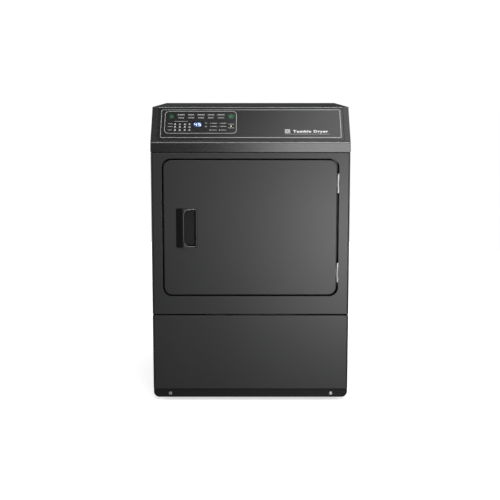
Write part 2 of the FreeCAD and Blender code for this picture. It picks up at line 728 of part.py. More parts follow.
def make_drum():
    """The rolled drum: a thin tube with two raised beads and lips, turned about its own axis."""
    body = new_body("drum_shell")
    out, wall, bead = "P.drum_out", "P.drum_in - P.drum_out", 3
    outside = [("P.drum_front", out)]
    for centre in (-150, 185):
        outside += [(centre - 14, out), (centre - 8, f"{out} + {bead}"),
                    (centre + 8, f"{out} + {bead}"), (centre + 14, out)]
    outside.append(("P.drum_back", out))
    inside = [(y, f"{r} + {wall}") for y, r in reversed(outside)]
    sketch = new_sketch(body, "YZ_Plane", "0", [("poly", outside + inside)])
    sketch.setExpression("AttachmentOffset.Base.y", "P.drum_z")
    made = body.newObject("PartDesign::Revolution", "drum_turned")
    made.Profile = sketch
    made.ReferenceAxis = (sketch, ["H_Axis"])
    made.Angle = 360
    doc.recompute()


def lifter(name, turn, floor, inset):
    """One wedge that stands on the drum's wall and leans in, drawn smaller by an inset."""
    wedge = doc.addObject("Part::Wedge", name)
    for key, value in (("Xmin", inset - 35), ("Xmax", 35 - inset), ("Ymin", floor),
                       ("Ymax", 66 - inset), ("Zmin", inset), ("Zmax", 440 - inset),
                       ("X2min", inset - 12), ("X2max", 12 - inset), ("Z2min", 20 + inset),
                       ("Z2max", 420 - inset)):
        setattr(wedge, key, value)
    spin = FreeCAD.Rotation(V(0, 1, 0), turn)
    upright = FreeCAD.Rotation(V(1, 0, 0), -90)  # the wedge's height to -Z, its length to +Y
    wedge.Placement = FreeCAD.Placement(V(0, 0, 0), spin.multiply(upright))
    reach = spin.multVec(V(0, 0, 1))
    put(wedge, f"{reach.x:.6f} * (P.drum_in - 2.4)", "-205",
        f"P.drum_z + {reach.z:.6f} * (P.drum_in - 2.4)")
    doc.recompute()
    return wedge


def make_baffles():
    """Three hollow lifters inside the drum, a third of a turn apart, open towards its wall."""
    baffles = []
    for i in range(3):
        wedge = lifter(f"baffle_{i}", 60 + 120 * i, 0, 0)
        smooth = doc.addObject("Part::Fillet", f"baffle_round_{i}")
        smooth.Base = wedge
        smooth.Edges = [(k + 1, 8.0, 8.0) for k, e in enumerate(wedge.Shape.Edges)
                        if edge_reach(e) < size("P.drum_in") - 51]
        baffles.append(cut(f"baffle_shell_{i}", smooth, lifter(f"baffle_room_{i}", 60 + 120 * i, -1, 3)))
    keep("drum_baffles", group("drum_baffles", *baffles))


def edge_reach(edge):
    """The larger distance of an edge's two ends from the drum's axis."""
    middle = size("P.drum_z")
    return max(math.hypot(v.X, v.Z - middle) for v in edge.Vertexes)


def make_front_bulkhead():
    """The wall in front of the drum, with the throat to the door opening and a ring for the seal."""
    body = new_body("front_bulkhead")
    wall = "P.bulkhead_front"
    side = "P.half - 3.5"
    pad(body, "XZ_Plane", wall, "P.skin", 1, ("rect", f"-({side})", side, 300, 905))
    ring_in = "P.ring_out - P.skin"
    pad(body, "XZ_Plane", wall, "28", 1, ("circle", "0", "P.drum_z", "P.ring_out"))
    pocket(body, "XZ_Plane", f"{wall} + 28", "28 - P.skin", -1, ("circle", "0", "P.drum_z", ring_in))
    edge = ("-P.throat_half", "P.throat_half", "P.throat_low", "P.throat_high")
    outer = [f"{edge[0]} - P.skin", f"{edge[1]} + P.skin", f"{edge[2]} - P.skin",
             f"{edge[3]} + P.skin"]
    mouth = "P.front + P.recess_deep + P.skin"
    pad(body, "XZ_Plane", mouth, f"{wall} - ({mouth})", 1,
        ("round", *outer, "P.throat_radius + P.skin"))
    pocket(body, "XZ_Plane", mouth, f"{wall} + P.skin - ({mouth})", 1,
           ("round", *edge, "P.throat_radius"))
    pocket(body, "XY_Plane", "P.throat_low + 8", "10.5", -1, ("rect", -152, 152, -300, -278))


def make_rear_bulkhead():
    """The wall behind the drum, with the ring for the seal and the hot-air grille."""
    body = new_body("rear_bulkhead")
    wall = "P.bulkhead_back"
    side = "P.half - 18"
    pad(body, "XZ_Plane", wall, "P.skin", 1, ("rect", f"-({side})", side, 255, 985))
    pad(body, "XZ_Plane", wall, "13", -1, ("circle", "0", "P.drum_z", "P.ring_out"))
    pocket(body, "XZ_Plane", f"{wall} - 13", "13", 1,
           ("circle", "0", "P.drum_z", "P.ring_out - P.skin"))
    holes = [("circle", x + 15 * (row % 2), f"P.drum_z + {30 * row - 100}", 6)
             for row in range(8) for x in range(92, 172, 30)]
    pocket(body, "XZ_Plane", wall, "P.skin", 1, *holes)


def make_seals():
    outer = f"P.drum_in - {CLEAR}"
    front = tube("front_seal", "Y", 0, "P.drum_front + 2", "P.drum_z", outer, "P.ring_out", 7)
    rear = tube("rear_seal", "Y", 0, "P.drum_back - 7", "P.drum_z", outer, "P.ring_out", 6)
    keep("drum_seals", group("drum_seals", front, rear))


def under_drum(angle_sign, radius):
    """The expressions for a point under the drum, at a radius from its axis."""
    return (f"{angle_sign} * ({radius}) * sin(P.roller_angle)",
            f"P.drum_z - ({radius}) * cos(P.roller_angle)")


def make_rollers():
    """Two rear rollers on their axles, and two front glides, which carry the drum."""
    axles, glides = [], []
    for name, sign in (("left", -1), ("right", 1)):
        x, z = under_drum(sign, f"P.drum_out + {CLEAR} + P.roller_radius")
        roller = tube(f"{name}_roller_ring", "Y", x, 236, z, "P.roller_radius", 6.05, 24)
        groove = tube(f"{name}_roller_groove", "Y", x, 236, z, 28, 12, 4)
        keep(f"drum_roller_{name}", cut(f"drum_roller_{name}", roller, groove))
        pin = cylinder(f"{name}_axle", "Y", x, 230, z, 6, "P.bulkhead_back - 230")
        head = cylinder(f"{name}_axle_head", "Y", x, 227, z, 9, 6)
        axles.append(fuse(f"{name}_axle_pin", pin, head))
        pad_block = doc.addObject("Part::Box", f"{name}_glide")
        pad_block.Length, pad_block.Width, pad_block.Height = 50, 30, 10
        tilt = FreeCAD.Rotation(V(0, 1, 0), -sign * size("P.roller_angle"))
        corner = tilt.multVec(V(-25, 0, -10))
        gx, gz = under_drum(sign, "P.drum_out + 0.4")
        put(pad_block, f"{gx} + ({corner.x:.6f})", "P.bulkhead_front + P.skin",
            f"{gz} + ({corner.z:.6f})", tilt)
        glides.append(pad_block)
    keep("roller_axles", group("roller_axles", *axles))
    keep("drum_glides", group("drum_glides", *glides))


# ---------------------------------------------------------------- belt drive


def tangent(a, b):
    """The straight run from wheel a to wheel b; a wheel is (x, z, radius, +1 or -1 for its turn)."""
    ax, az, ar, turn_a = a
    bx, bz, br, turn_b = b
    apart = math.hypot(bx - ax, bz - az)
    heading = math.atan2(bz - az, bx - ax) - math.asin((turn_b * br - turn_a * ar) / apart)
    left = (-math.sin(heading), math.cos(heading))
    leave = (ax - turn_a * ar * left[0], az - turn_a * ar * left[1])
    reach = (bx - turn_b * br * left[0], bz - turn_b * br * left[1])
    return leave, reach


def belt_wire(offset):
    """The belt's path round its wheels, moved outwards by an offset."""
    half = size("P.belt_thick") / 2 + CLEAR
    wheels = [(0, size("P.drum_z"), size("P.drum_out") + half, 1),
              (size("P.idler_x"), size("P.idler_z"), size("P.idler_radius") + half, -1),
              (size("P.shaft_x"), size("P.shaft_z"), size("P.pulley_radius") + half, 1)]
    wheels = [(x, z, r + turn * offset, turn) for x, z, r, turn in wheels]
    y = size("P.belt_y - P.belt_wide / 2")
    spans = [tangent(wheels[i], wheels[(i + 1) % 3]) for i in range(3)]
    edges = []
    for i, (leave, reach) in enumerate(spans):
        edges.append(Part.LineSegment(V(leave[0], y, leave[1]), V(reach[0], y, reach[1])).toShape())
        x, z, r, turn = wheels[(i + 1) % 3]
        away = spans[(i + 1) % 3][0]
        start = math.atan2(reach[1] - z, reach[0] - x)
        sweep = (math.atan2(away[1] - z, away[0] - x) - start) % (2 * math.pi)
        if turn < 0:
            sweep -= 2 * math.pi
        middle = start + sweep / 2
        through = V(x + r * math.cos(middle), y, z + r * math.sin(middle))
        arc = Part.Arc(V(reach[0], y, reach[1]), through, V(away[0], y, away[1]))
        edges.append(arc.toShape())
    return Part.Wire(edges)


def make_belt():
    half = size("P.belt_thick") / 2
    outer, inner = Part.Face(belt_wire(half)), Part.Face(belt_wire(-half))
    made = doc.addObject("Part::Feature", "drum_belt")
    made.Shape = outer.cut(inner).extrude(V(0, size("P.belt_wide"), 0))
    keep("drum_belt", made)


def make_motor():
    x, z = "P.shaft_x", "P.shaft_z"
    can = cylinder("motor_can", "Y", x, -150, z, 68, 150)
    bell = cylinder("motor_bell", "Y", x, -162, z, 40, 174)
    foot = box("motor_foot", f"{x} - 60", f"{x} + 60", -120, -20, "P.base_low + 2", f"{z} - 40")
    window = box("motor_foot_gap", f"{x} - 40", f"{x} + 40", -125, -15, "P.base_low + 5", f"{z} - 76")
    bore = cylinder("motor_bore", "Y", x, -170, z, 6.1, 200)
    keep("motor_housing", cut("motor_housing", fuse("motor_solid", can, bell, foot), window, bore))
    shaft = cylinder("shaft_rod", "Y", x, -246, z, 6, 314)
    low = "P.belt_y - P.belt_wide / 2 - 1"
    pulley = cylinder("shaft_pulley", "Y", x, low, z, "P.pulley_radius", "P.belt_wide + 2")
    rims = [cylinder(f"pulley_rim_{i}", "Y", x, y, z, "P.pulley_radius + 4", 2)
            for i, y in enumerate((f"{low} - 2", f"{low} + P.belt_wide + 2"))]
    keep("motor_shaft", fuse("motor_shaft", shaft, pulley, *rims))


def make_idler():
    x, z, y = "P.idler_x", "P.idler_z", "P.belt_y - P.belt_wide / 2 - 1"
    wheel = cylinder("idler_wheel", "Y", x, y, z, "P.idler_radius", "P.belt_wide + 2")
    bore = cylinder("idler_bore", "Y", x, f"{y} - 1", z, 5.05, 20)
    keep("idler_pulley", cut("idler_pulley", wheel, bore))
    rise = f"({z} - P.pivot_z) / ({x} - P.pivot_x)"
    bar = doc.addObject("Part::Box", "idler_bar")
    bar.setExpression("Length", f"sqrt(({x} - P.pivot_x)^2 + ({z} - P.pivot_z)^2)")
    bar.Width, bar.Height = 4, 20
    turn = FreeCAD.Rotation(V(0, 1, 0), -math.degrees(math.atan(size(rise))))
    corner = turn.multVec(V(0, 0, -10))
    put(bar, f"P.pivot_x + ({corner.x:.6f})", 46, f"P.pivot_z + ({corner.z:.6f})", turn)
    ends = [cylinder(f"idler_arm_end_{i}", "Y", ex, 46, ez, 12, 4)
            for i, (ex, ez) in enumerate((("P.pivot_x", "P.pivot_z"), (x, z)))]
    pin = cylinder("idler_arm_pin", "Y", x, 46, z, 5, 22)
    eye = cylinder("idler_arm_eye", "Y", "P.pivot_x", 40, "P.pivot_z", 6.05, 14)
    keep("idler_arm", cut("idler_arm", fuse("idler_arm_solid", bar, *ends, pin), eye))
    post = cylinder("idler_post", "Y", "P.pivot_x", 36, "P.pivot_z", 6, 16)
    stand = box("idler_stand", "P.pivot_x - 12", "P.pivot_x + 12", 32, 36, "P.base_low + 2",
                "P.pivot_z + 12")
    keep("idler_bracket", fuse("idler_bracket", post, stand))
    keep("idler_spring", tube("idler_spring", "Y", "P.pivot_x", 36.3, "P.pivot_z", 9, 6.3, 9.4))


# ---------------------------------------------------------------- air path


def make_blower():
    x, z = "P.shaft_x", "P.shaft_z"
    front, back, r = "P.blower_front", "P.blower_back", "P.blower_radius"
    deep = f"{back} - ({front})"
    scroll = cylinder("scroll", "Y", x, front, z, r, deep)
    horn = box("scroll_horn", "P.exhaust_x - 55", x, front, back, f"{z} - {r}", f"{z} - 5")
    room = cylinder("scroll_room", "Y", x, f"{front} + 3", z, f"{r} - 3", f"{deep} - 6")
    way = box("scroll_way", "P.exhaust_x - 52", x, f"{front} + 3", f"{back} - 3",
              f"{z} - {r} + 3", f"{z} - 8")
    inlet = cylinder("scroll_inlet", "Y", x, f"{front} - 1", z, 68, 6)
    neck = cylinder("scroll_neck", "Y", x, f"{back} - 4", z, 14, 6)
    outlet = cylinder("scroll_outlet", "Y", "P.exhaust_x", f"{back} - 4", "P.exhaust_z",
                      "P.exhaust_in", 6)
    keep("blower_housing", cut("blower_housing", fuse("scroll_solid", scroll, horn), room, way,
                               inlet, neck, outlet))
    hub = cylinder("wheel_hub", "Y", x, -248, z, 14, 66)
    disc = cylinder("wheel_disc", "Y", x, -186, z, 92, 3)
    ring = tube("wheel_ring", "Y", x, -246, z, 92, 80, 3)
    blades = []
    for i in range(16):
        blade = doc.addObject("Part::Box", f"wheel_blade_{i}")
        blade.Length, blade.Width, blade.Height = 22, 60, 1.6
        turn = FreeCAD.Rotation(V(0, 1, 0), 22.5 * i)
        start = turn.multVec(V(69, 0, 0))
        put(blade, f"{x} + ({start.x:.6f})", -245, f"{z} + ({start.z:.6f})", turn)
        blades.append(blade)
    wheel = fuse("wheel_solid", hub, disc, ring, *blades)
    keep("blower_wheel", cut("blower_wheel", wheel, cylinder("wheel_bore", "Y", x, -250, z, 6, 80)))


def make_exhaust():
    """The exhaust pipe, drawn down to the hose size where it stands out of the rear panel."""
    x, z = "P.exhaust_x", "P.exhaust_z"
    run = cylinder("exhaust_run", "Y", x, "P.blower_back", z, "P.exhaust_out + 1.2",
                   "P.back - P.blower_back")
    collar = cylinder("exhaust_collar", "Y", x, "P.back - 1", z, "P.exhaust_out",
                      "P.exhaust_end - P.back + 1")
    bore = cylinder("exhaust_bore", "Y", x, "P.blower_back - 1", z, "P.exhaust_in", "600")
    keep("exhaust_duct", cut("exhaust_duct", fuse("exhaust_solid", run, collar), bore))


def make_lint_duct():
    """The upright duct behind the lower front panel that holds the lint filter."""
    top = "P.throat_low - P.skin"
    case = box("duct_case", -156, 156, -304, -274, "P.shaft_z - 80", top)
    room = box("duct_room", -152, 152, -300, -278, "P.shaft_z - 77", f"{top} + 1")
    mouth = cylinder("duct_mouth", "Y", "P.shaft_x", -280, "P.shaft_z", 68, 10)
    collar = tube("duct_collar", "Y", "P.shaft_x", -275, "P.shaft_z", 72, 68, "P.blower_front + 275")
    keep("lint_duct", fuse("lint_duct", cut("duct_shell", case, room, mouth), collar))


def make_filter():
    """The pull-out lint filter: a frame with a pull at its top and a fine screen across it."""
    body = new_body("lint_filter")
    pad(body, "XZ_Plane", -297, 16, 1, ("rect", -148, 148, 225, 436))
    windows = [("rect", x, x + 88, 235, 414) for x in (-138, -44, 50)]
    pocket(body, "XZ_Plane", -297, 16, 1, *windows)
    pad(body, "XZ_Plane", -290, 0.8, 1, ("rect", -140, 140, 233, 416))
    pad(body, "XZ_Plane", -295, 12, 1, ("round", -70, 70, 430, 449, "8"))
    pocket(body, "XZ_Plane", -295, 8, 1, ("round", -60, 60, 437, 444, "3"))


def make_heater():
    """The heater box beside the drive, with the flat riser that feeds the rear grille."""
    case = box("heater_case", 150, 325, 60, 262, 60, 150)
    riser = box("heater_riser", 60, 195, 277.5, 303, 60, 760)
    throat = box("heater_throat", 150, 195, 250, 303, 60, 150)
    room = box("heater_room", 151, 324, 66, 261, 61, 149)
    flue = box("heater_flue", 61, 194, 278.5, 302, 61, 759)
    way = box("heater_way", 151, 194, 240, 290, 61, 149)
    grille = box("heater_grille", 80, 190, 270, 282, "P.drum_z - 110", "P.drum_z + 120")
    intake = [box(f"heater_intake_{i}", x, x + 12, 55, 75, 75, 135)
              for i, x in enumerate(range(165, 310, 24))]
    keep("heater_box", cut("heater_box", fuse("heater_solid", case, riser, throat), room, flue,
                           way, grille, *intake))


def make_cord_inlet():
    """The terminal cover on the rear panel, with the hole for a cord's strain relief."""
    body = new_body("cord_bracket")
    pad(body, "XZ_Plane", "P.back", "2", 1,
        ("round", "P.cord_x - 50", "P.cord_x + 50", "P.cord_z - 38", "P.cord_z + 38", "6"))
    pocket(body, "XZ_Plane", "P.back", "2", 1, ("circle", "P.cord_x", "P.cord_z", "P.cord_hole"))


# ---------------------------------------------------------------- fasteners


def screw(name, x, y, z, toward):
    """A hex washer-head screw whose head stands off a face at y, toward -1 or +1."""
    head_at = f"{y} - 5" if toward < 0 else f"{y}"
    hexagon = doc.addObject("Part::Prism", f"{name}_hex")
    hexagon.Polygon = 6
    hexagon.setExpression("Circumradius", "4.2")
    hexagon.setExpression("Height", "5")
    put(hexagon, x, head_at, z, TURN["Y"])
    washer = cylinder(f"{name}_washer", "Y", x, f"{y} - 1.2" if toward < 0 else y, z, 5.6, 1.2)
    return fuse(name, hexagon, washer)


def make_screws():
    toe = "P.front + P.toe_setback"
    screws = [screw(f"toe_screw_{i}", x, toe, 27, -1) for i, x in enumerate((-283.0, 283.0))]
    spots = [(x, z) for x in ("-P.half + 9", "P.half - 9") for z in (80, 380, 680, 980)]
    spots += [(x, 990) for x in (-150, 150)]
    screws += [screw(f"rear_screw_{i}", x, "P.back", z, 1) for i, (x, z) in enumerate(spots)]
    screws += [screw(f"cover_screw_{i}", f"P.cord_x + {dx}", "P.back + 2", "P.cord_z", 1)
               for i, dx in enumerate((-40, 40))]
    keep("cabinet_screws", group("cabinet_screws", *screws))


# ---------------------------------------------------------------- build and write


def build():
    make_base()
    make_side("left_side_panel", -1)
    make_side("right_side_panel", 1)
    make_rear_panel()
    make_top_panel()
    make_front_panel()
    make_lower_front()
    make_feet()
    make_rail()
    make_end_cap("left_end_cap", -1)
    make_end_cap("right_end_cap", 1)
    make_fascia()
    make_overlay()
    make_display()
    make_board()
    for key in KEYS:
        make_key(*key)
    make_door_outer()
    make_door_inner()
    make_door_seal()
    make_handle()
    make_strike()
    make_catch()
    make_hinges()
    make_drum()
    make_baffles()
    make_front_bulkhead()
    make_rear_bulkhead()
    make_seals()
    make_rollers()
    make_belt()
    make_motor()
    make_idler()
    make_blower()
    make_exhaust()
    make_lint_duct()
    make_filter()
    make_heater()
    make_cord_inlet()
    make_screws()


def write():
    doc.recompute()
    bad = [o.Name for o in doc.Objects if "Invalid" in o.State or "Error" in o.State]
    if bad:
        raise RuntimeError(f"failed objects: {bad}")
    os.makedirs("parts", exist_ok=True)
    for label, thing in finished.items():
        shape = thing.Shape
        if shape.isNull() or not shape.isValid() or not shape.Solids:
            raise RuntimeError(f"{label} has no valid solid")
    for label, thing in finished.items():
        thing.Shape.exportStep(f"parts/{label}.step")
    print(f"{len(finished)} sub-parts written")


build()
write()
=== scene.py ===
import math
import random

import bmesh
import bpy
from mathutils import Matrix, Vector


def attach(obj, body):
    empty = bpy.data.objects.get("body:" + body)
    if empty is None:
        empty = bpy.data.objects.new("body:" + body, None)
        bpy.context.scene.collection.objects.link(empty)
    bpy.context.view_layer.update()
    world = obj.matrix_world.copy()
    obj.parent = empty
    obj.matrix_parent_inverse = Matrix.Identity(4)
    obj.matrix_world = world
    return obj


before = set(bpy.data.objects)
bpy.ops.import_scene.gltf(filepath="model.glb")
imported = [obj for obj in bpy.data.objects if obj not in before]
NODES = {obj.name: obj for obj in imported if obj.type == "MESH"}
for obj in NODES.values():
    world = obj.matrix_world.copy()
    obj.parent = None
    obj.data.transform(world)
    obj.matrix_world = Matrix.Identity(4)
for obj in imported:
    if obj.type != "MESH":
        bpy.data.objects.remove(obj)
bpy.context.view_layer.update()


# ------------------------------------------------------------------ materials


def nodes_of(material):
    """The node tree of a material and its main shader."""
    material.use_nodes = True
    tree = material.node_tree
    shader = next(n for n in tree.nodes if n.type == "BSDF_PRINCIPLED")
    return tree, shader


def noise(tree, scale, stretch=(1, 1, 1), detail=3.0):
    """Noise from 0 to 1 over the object's own coordinates."""
    place = tree.nodes.new("ShaderNodeTexCoord")
    move = tree.nodes.new("ShaderNodeMapping")
    move.inputs["Scale"].default_value = stretch
    cloud = tree.nodes.new("ShaderNodeTexNoise")
    cloud.inputs["Scale"].default_value = scale
    cloud.inputs["Detail"].default_value = detail
    tree.links.new(place.outputs["Object"], move.inputs["Vector"])
    tree.links.new(move.outputs["Vector"], cloud.inputs["Vector"])
    return cloud.outputs["Fac"]


def ramp(tree, value, stops):
    """Colour that goes through stops, a list of (position, colour), as value rises."""
    made = tree.nodes.new("ShaderNodeValToRGB")
    line = made.color_ramp
    while len(line.elements) < len(stops):
        line.elements.new(0.5)
    for element, (at, colour) in zip(line.elements, stops):
        element.position = at
        element.color = (*colour, 1)
    tree.links.new(value, made.inputs["Fac"])
    return made.outputs["Color"]


def spread(tree, value, low, high):
    """The middle part of a noise, spread out to run from low to high."""
    made = tree.nodes.new("ShaderNodeMapRange")
    made.inputs["From Min"].default_value = 0.3
    made.inputs["From Max"].default_value = 0.7
    made.inputs["To Min"].default_value = low
    made.inputs["To Max"].default_value = high
    tree.links.new(value, made.inputs["Value"])
    return made.outputs["Result"]


def finish_of(name, colour, rough, vary=0.12, rough_vary=0.06, metal=0.0, specular=0.5,
              cloud=6.0, grain=900.0, bump=0.05, depth=0.0002, stretch=(1, 1, 1), coat=0.0,
              sheen=0.0):
    """A surface whose colour and roughness drift over a broad noise and whose bump is a fine grain."""
    material = bpy.data.materials.new(name)
    tree, shader = nodes_of(material)
    broad = noise(tree, cloud, stretch)
    dark = tuple(c * (1 - vary) for c in colour)
    light = tuple(min(1.0, c * (1 + vary)) for c in colour)
    tree.links.new(ramp(tree, broad, [(0.3, dark), (0.7, light)]), shader.inputs["Base Color"])
    fine = noise(tree, grain, stretch, 2.0)
    level = spread(tree, fine, rough - rough_vary, rough + rough_vary)
    tree.links.new(level, shader.inputs["Roughness"])
    shader.inputs["Metallic"].default_value = metal
    shader.inputs["Specular IOR Level"].default_value = specular
    shader.inputs["Coat Weight"].default_value = coat
    shader.inputs["Coat Roughness"].default_value = 0.12
    shader.inputs["Sheen Weight"].default_value = sheen
    height = tree.nodes.new("ShaderNodeBump")
    height.inputs["Strength"].default_value = bump
    height.inputs["Distance"].default_value = depth
    tree.links.new(fine, height.inputs["Height"])
    tree.links.new(height.outputs["Normal"], shader.inputs["Normal"])
    return material


def glow_of(name, colour, strength):
    """A lit mark: brighter and dimmer spots of one colour."""
    material = bpy.data.materials.new(name)
    tree, shader = nodes_of(material)
    dim = tuple(c * 0.75 for c in colour)
    spots = ramp(tree, noise(tree, 700.0), [(0.35, dim), (0.65, colour)])
    tree.links.new(spots, shader.inputs["Base Color"])
    tree.links.new(spots, shader.inputs["Emission Color"])
    shader.inputs["Emission Strength"].default_value = strength
    shader.inputs["Roughness"].default_value = 0.4
    return material


PAINT = finish_of("charcoal_paint", (0.0145, 0.0147, 0.015), 0.4, specular=0.42, cloud=3.0,
                  grain=1500.0, bump=0.16, depth=0.00012)
TOP_PAINT = finish_of("charcoal_top_paint", (0.0145, 0.0147, 0.015), 0.34, specular=0.05, cloud=3.0,
                      grain=1500.0, bump=0.1, depth=0.0001)
RAIL_PAINT = finish_of("charcoal_rail_paint", (0.005, 0.0051, 0.0053), 0.24, specular=0.6, cloud=3.0,
                       grain=1500.0, bump=0.1, depth=0.0001)
# near-black paint of the base pan and the door's inner panel, darker than the cabinet paint: partly
# the pan's own black and partly painted shade on the toe under the front
BASE_PAINT_AND_SHADE = finish_of("base_paint", (0.0045, 0.0045, 0.0048), 0.55, specular=0.22, grain=1300.0, bump=0.15)
ZINC = finish_of("zinc_sheet", (0.4, 0.41, 0.42), 0.42, vary=0.12, metal=0.9, cloud=55.0,
                 grain=260.0, bump=0.04, rough_vary=0.1)
STEEL = finish_of("plated_steel", (0.58, 0.585, 0.59), 0.3, metal=1.0, cloud=60.0, grain=700.0)
DRUM = finish_of("drum_stainless", (0.56, 0.565, 0.57), 0.3, vary=0.08, metal=1.0, cloud=5.0,
                 grain=60.0, bump=0.06, stretch=(1, 14, 1), rough_vary=0.08)
MOULDED = finish_of("console_moulding", (0.0115, 0.0116, 0.012), 0.38, specular=0.4, grain=2200.0,
                    bump=0.3, depth=0.00015)
# near-black moulding of the door handle, darker than the console moulding: partly the plastic's own
# black and partly painted shade in the handle's ramp and cup; it is also the ink of the rating plate's
# lines
POCKET_SHADE_AND_PLATE_INK = finish_of("handle_moulding_painted_shade", (0.0032, 0.0032, 0.0034), 0.45, specular=0.22, grain=2200.0,
                   bump=0.25, depth=0.00012)
GREY = finish_of("grey_moulding", (0.19, 0.195, 0.2), 0.5, specular=0.4, grain=1800.0, bump=0.25)
OVERLAY = finish_of("control_face", (0.009, 0.009, 0.0095), 0.3, specular=0.42, grain=2600.0,
                    bump=0.08, depth=0.0001)
KEYCAP = finish_of("key_cap", (0.0115, 0.0118, 0.012), 0.38, specular=0.4, grain=2400.0, bump=0.2)
GREEN_KEY = finish_of("green_key_cap", (0.006, 0.022, 0.0115), 0.38, specular=0.4, grain=2400.0,
                      bump=0.2)
LENS = finish_of("display_lens", (0.004, 0.005, 0.009), 0.12, specular=0.5, grain=900.0, bump=0.01,
                 coat=0.3)
RUBBER = finish_of("black_rubber", (0.014, 0.014, 0.014), 0.72, specular=0.3, grain=1500.0,
                   bump=0.4, depth=0.0003)
FELT = finish_of("wool_felt", (0.3, 0.28, 0.24), 0.95, vary=0.25, specular=0.2, cloud=120.0,
                 grain=1700.0, bump=0.9, depth=0.0008, sheen=0.5)
BOARD = finish_of("circuit_board", (0.02, 0.09, 0.04), 0.35, vary=0.3, cloud=80.0, grain=500.0)
ALLOY = finish_of("cast_alloy", (0.36, 0.365, 0.37), 0.55, vary=0.15, metal=0.8, cloud=30.0,
                  grain=900.0, bump=0.5, depth=0.0004)
SILVER = finish_of("silver_print", (0.46, 0.465, 0.47), 0.38, vary=0.1, metal=0.3, cloud=90.0,
                   grain=1500.0)
LEGEND = finish_of("legend_print", (0.36, 0.36, 0.35), 0.5, vary=0.2, cloud=300.0, grain=1500.0)
WHITE = finish_of("white_print", (0.86, 0.86, 0.85), 0.45, vary=0.05, cloud=200.0, grain=1500.0)
# light metallic finish of the handle's rim bead: a painted highlight outlining the cup
RIM_HIGHLIGHT = finish_of("handle_rim_highlight", (0.11, 0.112, 0.115), 0.33, vary=0.15, metal=0.4, cloud=60.0,
                grain=1200.0)
# light metallic finish of the edge beads: a painted highlight, a lighter line along the rail's and the
# top's rolled edges than the charcoal paint has
EDGE_HIGHLIGHT = finish_of("rolled_edge_painted_highlight", (0.42, 0.422, 0.425), 0.3, vary=0.15, metal=0.5, cloud=60.0,
                 grain=1200.0)
HINGE = finish_of("hinge_steel", (0.4, 0.405, 0.41), 0.36, metal=0.9, cloud=60.0, grain=700.0)
SCREEN = finish_of("lint_mesh", (0.3, 0.31, 0.32), 0.45, metal=0.7, cloud=60.0, grain=1200.0)
BLUE_GLOW = glow_of("display_blue", (0.45, 0.6, 1.0), 1.5)
GREEN_GLOW = glow_of("start_green", (0.05, 0.2, 0.1), 0.3)
WARM_GLOW = glow_of("warm_lamp", (1.0, 0.8, 0.5), 0.9)
WHITE_GLOW = glow_of("white_lamp", (0.85, 0.9, 1.0), 0.45)
BACKLIGHT = glow_of("display_backlight", (0.02, 0.03, 0.09), 0.9)

SKINS = {
    PAINT: "left_side_panel right_side_panel front_panel lower_front_panel door_outer_panel",
    TOP_PAINT: "top_panel",
    RAIL_PAINT: "console_rail",
    BASE_PAINT_AND_SHADE: "base_pan door_inner_panel",
    ZINC: "rear_panel front_bulkhead rear_bulkhead lint_duct exhaust_duct heater_box idler_bracket "
          "idler_arm cord_bracket door_strike",
    ALLOY: "motor_housing",
    MOULDED: "left_end_cap right_end_cap console_fascia",
    POCKET_SHADE_AND_PLATE_INK: "door_handle",
    GREY: "idler_pulley blower_housing blower_wheel lint_filter drum_glides drum_baffles",
    OVERLAY: "control_overlay",
    LENS: "display_window",
    BOARD: "control_board",
    DRUM: "drum_shell",
    HINGE: "frame_hinge_leaves door_hinge_leaves",
    STEEL: "cabinet_screws roller_axles motor_shaft door_catch idler_spring",
    RUBBER: "levelling_feet door_seal drum_belt drum_roller_left drum_roller_right",
    FELT: "drum_seals",
}


def dress(name, material):
    """Gives every slot of a CAD piece one material."""
    slots = NODES[name].data.materials
    if not slots:
        slots.append(material)
    for i in range(len(slots)):
        slots[i] = material


for material, names in SKINS.items():
    for name in names.split():
        dress(name, material)
for name in NODES:
    if name.endswith("_key") or "_key_" in name:
        dress(name, GREEN_KEY if name in ("power_key", "start_key") else KEYCAP)


# ------------------------------------------------------------------ mesh helpers


def add_piece(name, build, material, body):
    """Makes one object from a bmesh that build fills, and rides it on a body."""
    mesh = bpy.data.meshes.new(name)
    work = bmesh.new()
    build(work)
    bmesh.ops.recalc_face_normals(work, faces=work.faces)
    work.to_mesh(mesh)
    work.free()
    mesh.materials.append(material)
    piece = bpy.data.objects.new(name, mesh)
    bpy.context.scene.collection.objects.link(piece)
    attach(piece, body)


def prism(work, outline, low, high, place):
    """Closed prism over a flat outline of (x, y) points, from height low to high."""
    rings = [[work.verts.new(place(x, y, level)) for x, y in outline] for level in (low, high)]
    count = len(outline)
    work.faces.new(list(reversed(rings[0])))
    work.faces.new(rings[1])
    for i in range(count):
        j = (i + 1) % count
        work.faces.new((rings[0][i], rings[0][j], rings[1][j], rings[1][i]))


def frame_prism(work, outer, inner, low, high, place):
    """Closed ring between two outlines with the same number of points."""
    loops = [[work.verts.new(place(x, y, level)) for x, y in line]
             for line, level in ((outer, low), (outer, high), (inner, high), (inner, low))]
    count = len(outer)
    for k in range(4):
        a, b = loops[k], loops[(k + 1) % 4]
        for i in range(count):
            j = (i + 1) % count
            work.faces.new((a[i], a[j], b[j], b[i]))


def rounded(x0, x1, y0, y1, radii, steps=8):
    """Outline of a rectangle, counter-clockwise from its top right corner, with a radius a corner."""
    corners = [(x1, y1, 0, -1, -1), (x0, y1, 1, 1, -1), (x0, y0, 2, 1, 1), (x1, y0, 3, -1, 1)]
    points = []
    for (x, y, turn, sx, sy), radius in zip(corners, radii):
        cx, cy = x + sx * radius, y + sy * radius
        for i in range(steps + 1):
            angle = (turn + i / steps) * math.pi / 2
            points.append((cx + radius * math.cos(angle), cy + radius * math.sin(angle)))
    return points


